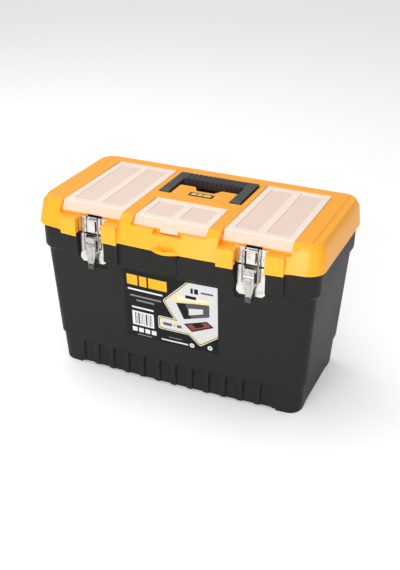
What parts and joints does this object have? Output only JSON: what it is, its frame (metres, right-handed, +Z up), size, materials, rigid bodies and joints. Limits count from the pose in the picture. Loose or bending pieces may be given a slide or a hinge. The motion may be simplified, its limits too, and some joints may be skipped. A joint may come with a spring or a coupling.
{
  "type": "toolbox with lift-out tray",
  "caption": "Tapered plastic toolbox: bowed lid with clear organiser lids, folding handle, draw latches, lift-out tray.",
  "frame": {"origin": "on the resting plane, at the middle of the pad under the tub floor", "axes": "+X along the box, +Y towards the lid hinges, +Z up"},
  "size_m": [0.486, 0.2745, 0.309],
  "materials": {
    "tub_plastic": "fine grained charcoal",
    "lid_plastic": "smooth satin yellow-orange",
    "tray_plastic": "fine grained charcoal",
    "organiser_plastic": "clear smoky polycarbonate",
    "handle_plastic": "satin dark grey",
    "nickel": "satin nickel plate",
    "steel": "bright wire",
    "label_film": "printed film",
    "badge": "dark inset plate"
  },
  "bodies": {
    "tub": {"tub_shell": "tub_plastic", "front_label": "label_film", "hinge_pin_left": "steel", "hinge_pin_right": "steel", "latch_base_plate_left": "nickel", "latch_base_plate_right": "nickel", "base_rivets_left": "nickel", "base_rivets_right": "nickel", "lever_pin_left": "steel", "lever_pin_right": "steel"},
    "lid": {"lid_shell": "lid_plastic", "badge_plate": "badge", "catch_plate_left": "nickel", "catch_plate_right": "nickel", "catch_rivets_left": "nickel", "catch_rivets_right": "nickel"},
    "handle": {"handle": "handle_plastic"},
    "tray": {"tray": "tray_plastic"},
    "organiser_lid_left": {"organiser_lid_left": "organiser_plastic"},
    "organiser_lid_right": {"organiser_lid_right": "organiser_plastic"},
    "organiser_lid_centre": {"organiser_lid_centre": "organiser_plastic"},
    "lever_left": {"latch_lever_left": "nickel"},
    "lever_right": {"latch_lever_right": "nickel"},
    "bail_left": {"latch_bail_left": "steel"},
    "bail_right": {"latch_bail_right": "steel"}
  },
  "joints": [
    {"name": "lid_hinge", "type": "hinge", "parent": "tub", "child": "lid", "pos_m": [0, 0.123, 0.254], "axis": [-1, 0, 0], "range_deg": [0, 100]},
    {"name": "handle_fold", "type": "hinge", "parent": "lid", "child": "handle", "pos_m": [0, 0, 0.301], "axis": [1, 0, 0], "range_deg": [0, 90]},
    {"name": "organiser_hinge_left", "type": "hinge", "parent": "lid", "child": "organiser_lid_left", "pos_m": [-0.139, 0.087, 0.3035], "axis": [-1, 0, 0], "range_deg": [0, 95]},
    {"name": "organiser_hinge_right", "type": "hinge", "parent": "lid", "child": "organiser_lid_right", "pos_m": [0.139, 0.087, 0.3035], "axis": [-1, 0, 0], "range_deg": [0, 95]},
    {"name": "organiser_hinge_centre", "type": "hinge", "parent": "lid", "child": "organiser_lid_centre", "pos_m": [0, -0.036, 0.3035], "axis": [-1, 0, 0], "range_deg": [0, 95]},
    {"name": "lever_pivot_left", "type": "hinge", "parent": "tub", "child": "lever_left", "pos_m": [-0.135, -0.1265, 0.257], "axis": [-1, 0, 0], "range_deg": [0, 150]},
    {"name": "bail_pivot_left", "type": "hinge", "parent": "lever_left", "child": "bail_left", "pos_m": [-0.135, -0.1255, 0.234], "axis": [-1, 0, 0], "range_deg": [-195, 0]},
    {"name": "lever_pivot_right", "type": "hinge", "parent": "tub", "child": "lever_right", "pos_m": [0.135, -0.1265, 0.257], "axis": [-1, 0, 0], "range_deg": [0, 150]},
    {"name": "bail_pivot_right", "type": "hinge", "parent": "lever_right", "child": "bail_right", "pos_m": [0.135, -0.1255, 0.234], "axis": [-1, 0, 0], "range_deg": [-195, 0]},
    {"name": "tray_lift", "type": "slide", "parent": "tub", "child": "tray", "axis": [0, 0, 1], "range_m": [0, 0.006]}
  ],
  "couplings": [
    {"joint": "bail_pivot_left", "follows": "lever_pivot_left", "ratio": -1.3},
    {"joint": "bail_pivot_right", "follows": "lever_pivot_right", "ratio": -1.3}
  ]
}
